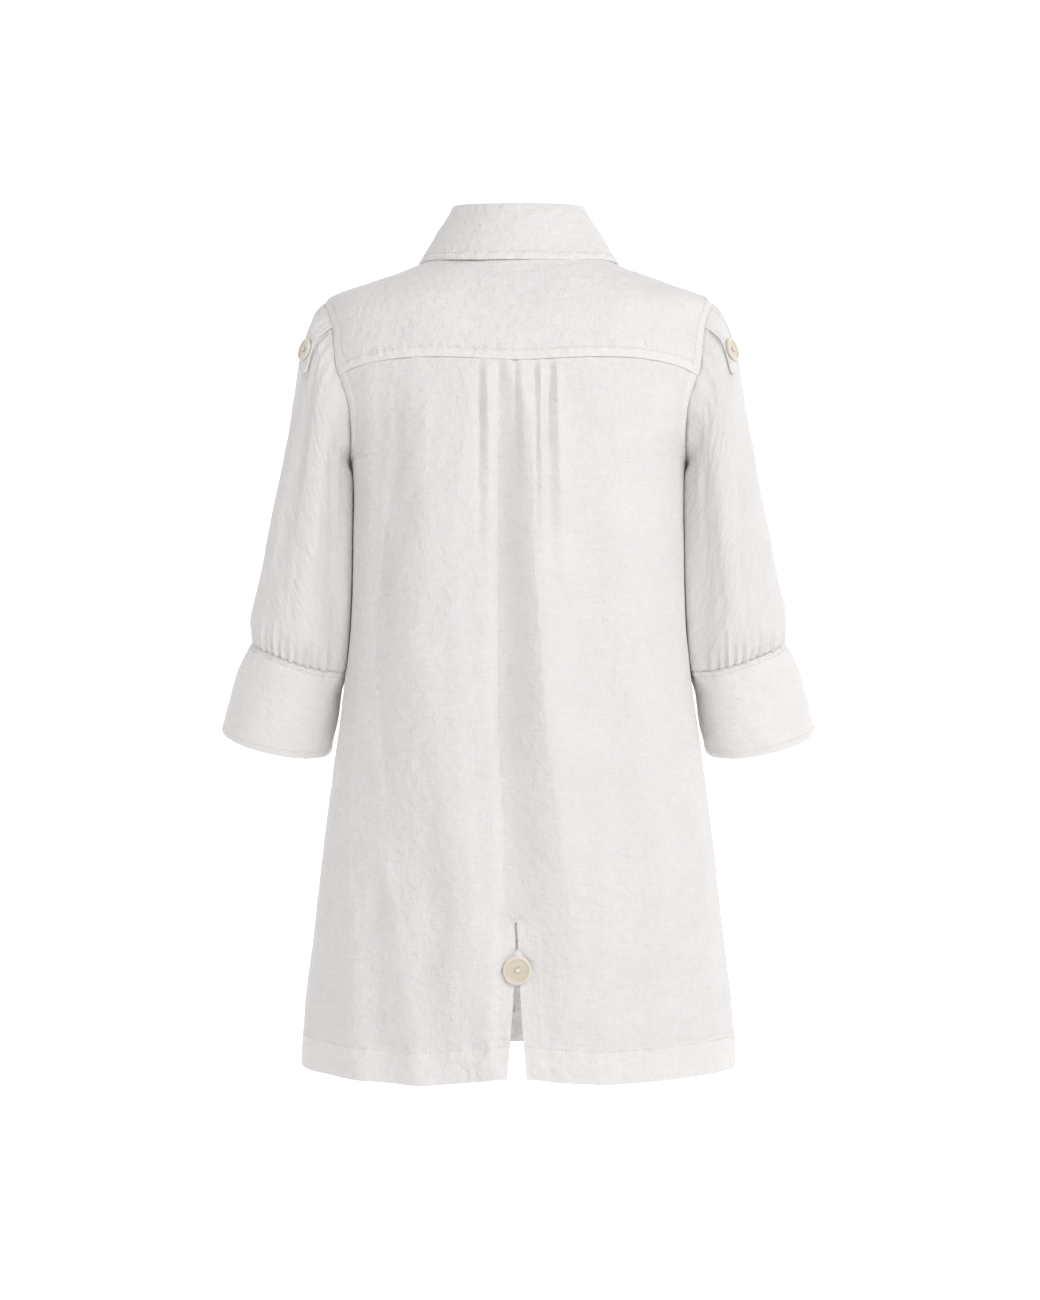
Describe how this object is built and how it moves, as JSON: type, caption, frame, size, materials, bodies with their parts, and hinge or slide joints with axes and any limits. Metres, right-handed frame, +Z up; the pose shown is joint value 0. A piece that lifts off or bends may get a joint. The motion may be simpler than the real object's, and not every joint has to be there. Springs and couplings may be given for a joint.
{
  "type": "utility shirt",
  "caption": "Linen tunic-length utility shirt filled out as worn, with turned-down collar, pleated back yoke, flared cuffs, shoulder tabs and a buttoned back vent.",
  "frame": {"origin": "where the neck and shoulders hold the shirt up: on the centre plane, level with the turned-down collar's lower edge", "axes": "+Z up, +Y towards the shirt's back, +X towards the wearer's left"},
  "size_m": [0.6096, 0.2668, 0.8715],
  "materials": {
    "linen": "matte plain-woven white linen with slubs",
    "horn_button": "satin cream horn"
  },
  "bodies": {
    "root": {"back_panel": "linen", "back_yoke": "linen", "front_left": "linen", "front_right": "linen", "sleeve_left": "linen", "sleeve_right": "linen", "cuff_left": "linen", "cuff_right": "linen", "collar_stand": "linen", "collar_fall": "linen", "tab_left": "linen", "tab_right": "linen", "vent_tab": "linen", "button_vent": "horn_button", "button_tab_left": "horn_button", "button_tab_right": "horn_button", "button_front_1": "horn_button", "button_front_2": "horn_button", "button_front_3": "horn_button", "button_front_4": "horn_button", "button_front_5": "horn_button", "button_front_6": "horn_button", "button_front_7": "horn_button"}
  },
  "joints": []
}
